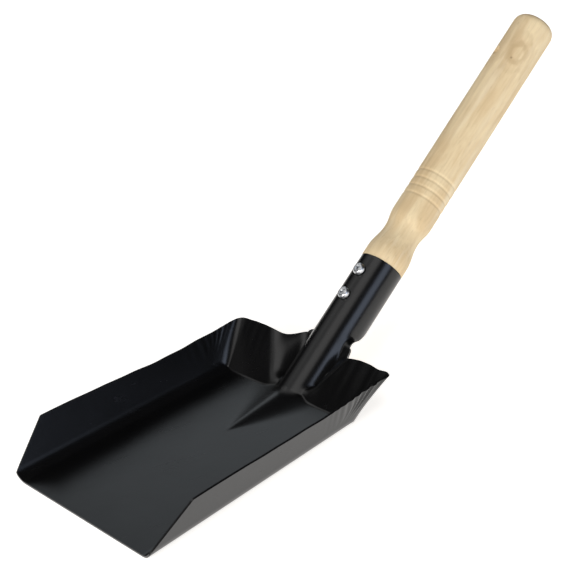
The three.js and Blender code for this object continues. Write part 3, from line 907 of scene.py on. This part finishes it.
def floor_point(column, row):
    """The floor fills the space inside the three folds."""
    left = FOLDS[row]
    right = FOLDS[-1 - row]
    rear = FOLDS[FLOOR_ROWS + column]
    rear_left = FOLDS[FLOOR_ROWS]
    rear_right = FOLDS[FLOOR_ROWS + FLOOR_COLUMNS]
    across = (rear.x - rear_left.x) / (rear_right.x - rear_left.x)
    back = (left.y - FOLDS[0].y) / (rear_left.y - FOLDS[0].y)
    front = FOLDS[0].lerp(FOLDS[-1], across)
    corners = front.lerp(rear_left.lerp(rear_right, across), back)
    return pressed(front.lerp(rear, back) + left.lerp(right, across) - corners, 0)


def tongue_point(column, row):
    """The tongue leaves the heel wall between the two notches and closes round the handle."""
    offset = column - TONGUE_COLUMNS
    place = HEEL_PLACES[abs(offset)] * (1 if offset > 0 else -1)
    root = heel_point(place, BEND_ROWS + WALL_ROWS)
    if row == 0:
        return root
    closing = row / CLOSING_ROWS
    along = blend(NOTCH_START, SEAM_CLOSED_AT, closing)
    if row > CLOSING_ROWS:
        along = blend(SEAM_CLOSED_AT, SOCKET_MOUTH, (row - CLOSING_ROWS) / STRAIGHT_ROWS)
    angle = blend(TONGUE_EDGE_OPEN, TONGUE_EDGE_CLOSED, ease(closing)) * offset / TONGUE_COLUMNS
    settled = ease((along - NOTCH_START) / (2 * NOTCH_OVERHANG))
    x = blend(root.x, SOCKET_RADIUS * sin(angle), settled)
    up = blend((root - AXIS_FOOT).dot(UP), SOCKET_RADIUS * cos(angle), settled)
    outward = max(1, SOCKET_RADIUS / hypot(x, up))
    return on_socket(x * outward, up * outward, along)


def press_patch(bm, columns, rows, place):
    """Adds a flat grid of sheet, 1 across, its corners moved to where place(column, row) says."""
    grid = bmesh.ops.create_grid(bm, x_segments=columns, y_segments=rows, size=0.5)["verts"]
    for vertex in grid:
        column = round((vertex.co.x + 0.5) * columns)
        row = round((vertex.co.y + 0.5) * rows)
        vertex.co = place(column, row)


def punch_hole(bm, along, radius):
    """Cuts a round hole through the top of the socket."""
    centre = on_socket(0, SOCKET_RADIUS, along)
    inside = [vertex for vertex in bm.verts if (vertex.co - centre).length < radius]
    bmesh.ops.delete(bm, geom=inside, context="VERTS")
    for edge in bm.edges:
        if not edge.is_boundary or (edge.verts[0].co - centre).length > 2 * radius:
            continue
        for vertex in edge.verts:
            away = vertex.co - centre
            vertex.co = centre + away * (radius / away.length)


def make_blade():
    bm = bmesh.new()
    press_patch(bm, FLOOR_COLUMNS, FLOOR_ROWS, floor_point)
    press_patch(bm, len(COLUMNS) - 1, BEND_ROWS + WALL_ROWS, wall_point)
    press_patch(bm, 2 * TONGUE_COLUMNS, CLOSING_ROWS + STRAIGHT_ROWS, tongue_point)
    bmesh.ops.remove_doubles(bm, verts=bm.verts, dist=SHEET_WELD)
    for along in SCREW_PLACES.values():
        punch_hole(bm, along, SHANK_RADIUS + SHANK_CLEARANCE)
    bmesh.ops.recalc_face_normals(bm, faces=bm.faces)
    blade = finish_piece(bm, "pressed_scoop", "black_paint", black_enamel(), "scoop_blade")
    thicken = blade.modifiers.new("sheet", "SOLIDIFY")
    thicken.thickness = (SHEET - INSIDE) * MM
    thicken.offset = 0
    thicken.use_even_offset = True
    rim = blade.modifiers.new("rim", "BEVEL")
    rim.width = RIM_ROUNDING * MM
    rim.segments = 2
    rim.limit_method = "ANGLE"
    rim.angle_limit = RIM_ANGLE
    blade.modifiers.new("shading", "WEIGHTED_NORMAL").keep_sharp = True
    return blade


# ---- Handle and screws ----


def lathe(profile, steps=ROUND_STEPS):
    """Turns a profile of (along or height, radius) pairs round the Y axis into a closed body."""
    bm = bmesh.new()
    line = [bm.verts.new((radius, along, 0)) for along, radius in profile]
    edges = [bm.edges.new(pair) for pair in zip(line, line[1:])]
    turned = {"cent": (0, 0, 0), "axis": (0, 1, 0), "angle": 2 * pi, "steps": steps}
    bmesh.ops.spin(bm, geom=line + edges, use_merge=True, **turned)
    bmesh.ops.remove_doubles(bm, verts=bm.verts, dist=TURNED_WELD)
    bmesh.ops.recalc_face_normals(bm, faces=bm.faces)
    return bm


def turn_body(bm, angle, axis):
    bmesh.ops.rotate(bm, verts=bm.verts, cent=(0, 0, 0), matrix=Matrix.Rotation(angle, 3, axis))


def to_handle_frame(bm):
    turn_body(bm, SOCKET_SLOPE, "X")
    bmesh.ops.translate(bm, verts=bm.verts, vec=AXIS_FOOT)


def curve(start, pull_start, pull_end, end, count):
    points = (Vector((along, radius, 0)) for along, radius in (start, pull_start, pull_end, end))
    return [(point.x, point.y) for point in interpolate_bezier(*points, count)][1:]


def ease_between(start, end, count):
    """A soft turned curve that leaves and meets the round parts on either side of it smoothly."""
    (start_along, start_radius), (end_along, end_radius) = start, end
    leaving = (blend(start_along, end_along, CURVE_PULL), start_radius)
    meeting = (blend(end_along, start_along, CURVE_PULL), end_radius)
    return curve(start, leaving, meeting, end, count)


def groove_depth(along):
    """Soft turned grooves, with rounded bands between them."""
    from_first = along - SOCKET_MOUTH - FIRST_GROOVE
    aways = [from_first - place * GROOVE_PITCH for place in range(GROOVE_COUNT)]
    return sum(GROOVE_DEPTH * exp(-(away / GROOVE_WIDTH) ** 2) for away in aways)


def handle_profile():
    shoulder = SOCKET_MOUTH + SEAT_GAP
    swell = SOCKET_MOUTH + SWELL_PLACE
    neck = SOCKET_MOUTH + NECK_PLACE
    grip = SOCKET_MOUTH + NECK_LENGTH
    profile = [(TENON_START, 0), (TENON_START, TENON_TIP_RADIUS)]
    profile += [(TENON_START + TENON_TAPER, TENON_RADIUS)]
    tenon = spread(TENON_START + TENON_TAPER, shoulder, TENON_ROWS)
    profile += [(along, TENON_RADIUS) for along in tenon]
    profile += [(shoulder, SHOULDER_RADIUS - SHOULDER_EDGE)]
    profile += [(shoulder + SHOULDER_EDGE_LENGTH, SHOULDER_RADIUS), (swell, SHOULDER_RADIUS)]
    profile += ease_between((swell, SHOULDER_RADIUS), (neck, NECK_RADIUS), SHOULDER_ROWS)
    profile += ease_between((neck, NECK_RADIUS), (grip, GRIP_RADIUS), NECK_ROWS)
    ringed_to = SOCKET_MOUTH + FIRST_GROOVE + GROOVE_COUNT * GROOVE_PITCH
    ringed = spread(grip, ringed_to, RINGED_ROWS)
    profile += [(along, GRIP_RADIUS - groove_depth(along)) for along in ringed]
    straight_to = HANDLE_END - END_ROUNDING
    profile += [(along, GRIP_RADIUS) for along in spread(ringed_to, straight_to, GRIP_ROWS)]
    profile += curve(
        (straight_to, GRIP_RADIUS),
        (blend(straight_to, HANDLE_END, END_PULL), GRIP_RADIUS),
        (HANDLE_END, GRIP_RADIUS - END_ROUNDING * (1 - END_PULL)),
        (HANDLE_END, GRIP_RADIUS - END_ROUNDING),
        END_ROWS,
    )
    return profile + [(HANDLE_END, 0)]


def drill(radius, start, end, along, turn=0.0, countersunk=False):
    """A cutter across the handle's axis, from start to end above it. A countersunk one flares
    where it comes out on either side."""
    profile = [(start, 0), (start, radius), (end, radius), (end, 0)]
    if countersunk:
        flare = radius + COUNTERSINK_REACH
        profile = [(start, 0), (start, flare), (COUNTERSINK - GRIP_RADIUS, radius)]
        profile += [(GRIP_RADIUS - COUNTERSINK, radius), (end, flare), (end, 0)]
    bm = lathe(profile, DRILL_STEPS)
    turn_body(bm, pi / 2, "X")
    turn_body(bm, turn, "Y")
    bmesh.ops.translate(bm, verts=bm.verts, vec=(0, along, 0))
    return bm


def bare_object(bm, name):
    mesh = bpy.data.meshes.new(name)
    bm.to_mesh(mesh)
    bm.free()
    made = bpy.data.objects.new(name, mesh)
    bpy.context.scene.collection.objects.link(made)
    return made


def cut_away(bm, cutters):
    """Cuts each cutter's shape out of a body."""
    body = bare_object(bm, "body")
    tools = [bare_object(cutter, "cutter") for cutter in cutters]
    for tool in tools:
        cut = body.modifiers.new("cut", "BOOLEAN")
        cut.object = tool
        cut.solver = "EXACT"
    bpy.context.view_layer.update()
    evaluated = body.evaluated_get(bpy.context.evaluated_depsgraph_get())
    result = bmesh.new()
    result.from_mesh(bpy.data.meshes.new_from_object(evaluated))
    for used in (body, *tools):
        bpy.data.objects.remove(used)
    return result


def finish_piece(bm, name, slot, material, *nodes, sharp=None):
    """Scales a piece to metres and puts it in the frame in place of its plain solids."""
    bmesh.ops.scale(bm, vec=(MM, MM, MM), verts=bm.verts)
    for face in bm.faces:
        face.smooth = True
    piece = bare_object(bm, name)
    if sharp:
        piece.data.set_sharp_from_angle(angle=sharp)
    piece.data.materials.append(material)
    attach(piece, "root")
    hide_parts(*nodes)
    return piece


def make_handle():
    hole_at = HANDLE_END - HANG_HOLE_FROM_END
    out = GRIP_RADIUS + COUNTERSINK_REACH
    hang_hole = drill(HANG_HOLE_RADIUS, -out, out, hole_at, HANG_HOLE_TURN, countersunk=True)
    pilot = SHANK_RADIUS + SHANK_CLEARANCE
    pilot_foot = SCREW_POINT - SEAT_GAP
    pilots = [drill(pilot, pilot_foot, SOCKET_TOP, along) for along in SCREW_PLACES.values()]
    bm = cut_away(lathe(handle_profile()), [hang_hole, *pilots])
    to_handle_frame(bm)
    wood = pale_wood()
    return finish_piece(bm, "turned_handle", "pale_wood", wood, "wooden_handle", sharp=HANDLE_SHARP)


def screw_profile():
    seat = SOCKET_TOP + SEAT_GAP
    head = SCREW_HEAD_RADIUS
    profile = [(SCREW_POINT, 0), (SCREW_POINT + SCREW_POINT_LENGTH, SHANK_RADIUS)]
    profile += [(seat, SHANK_RADIUS), (seat, head - SCREW_HEAD_EDGE)]
    profile += [(seat + SCREW_HEAD_EDGE, head), (seat + SCREW_HEAD_RIM, head)]
    profile += curve(
        (seat + SCREW_HEAD_RIM, head),
        (blend(seat, SCREW_TOP, DOME_RISE_PULL), head),
        (SCREW_TOP, blend(head, SCREW_FLAT_RADIUS, DOME_TOP_PULL)),
        (SCREW_TOP, SCREW_FLAT_RADIUS),
        DOME_ROWS,
    )
    return profile + [(SCREW_TOP, 0)]


def cross_slot(turn):
    """One arm of the driver's cross: a slot that narrows as it goes down."""
    bm = bmesh.new()
    bmesh.ops.create_cube(bm, size=1)
    for vertex in bm.verts:
        narrow = RECESS_FOOT if vertex.co.z < 0 else 1
        vertex.co.x *= RECESS_WIDTH * narrow
        vertex.co.y *= RECESS_SLOT * blend(1, narrow, RECESS_SLOT_TAPER)
        vertex.co.z = SCREW_TOP + (RECESS_OVERSHOOT if vertex.co.z > 0 else -RECESS_DEPTH)
    turn_body(bm, turn, "Z")
    bmesh.ops.recalc_face_normals(bm, faces=bm.faces)
    return bm


def make_screw(name, finish):
    bm = lathe(screw_profile(), SCREW_STEPS)
    turn_body(bm, pi / 2, "X")
    bm = cut_away(bm, [cross_slot(SCREW_TURN[name]), cross_slot(SCREW_TURN[name] + pi / 2)])
    bmesh.ops.translate(bm, verts=bm.verts, vec=(0, SCREW_PLACES[name], 0))
    to_handle_frame(bm)
    return finish_piece(bm, "cross_head_" + name, "bright_zinc", finish, name, sharp=SCREW_SHARP)


def make_floor():
    bm = bmesh.new()
    bmesh.ops.create_grid(bm, x_segments=1, y_segments=1, size=FLOOR_HALF_WIDTH)
    floor = bare_object(bm, "studio_floor")
    material, _, shader = new_material("pale_floor")
    shader.inputs["Base Color"].default_value = FLOOR_COLOUR
    shader.inputs["Emission Color"].default_value = FLOOR_GLOW_COLOUR
    shader.inputs["Emission Strength"].default_value = FLOOR_GLOW
    shader.inputs["Roughness"].default_value = FLOOR_ROUGHNESS
    shader.inputs["Specular IOR Level"].default_value = 0.0
    floor.data.materials.append(material)


set_up_camera()
light_the_studio()
make_floor()
make_blade()
make_handle()
ZINC = bright_zinc()
for screw in SCREWS:
    make_screw(screw, ZINC)
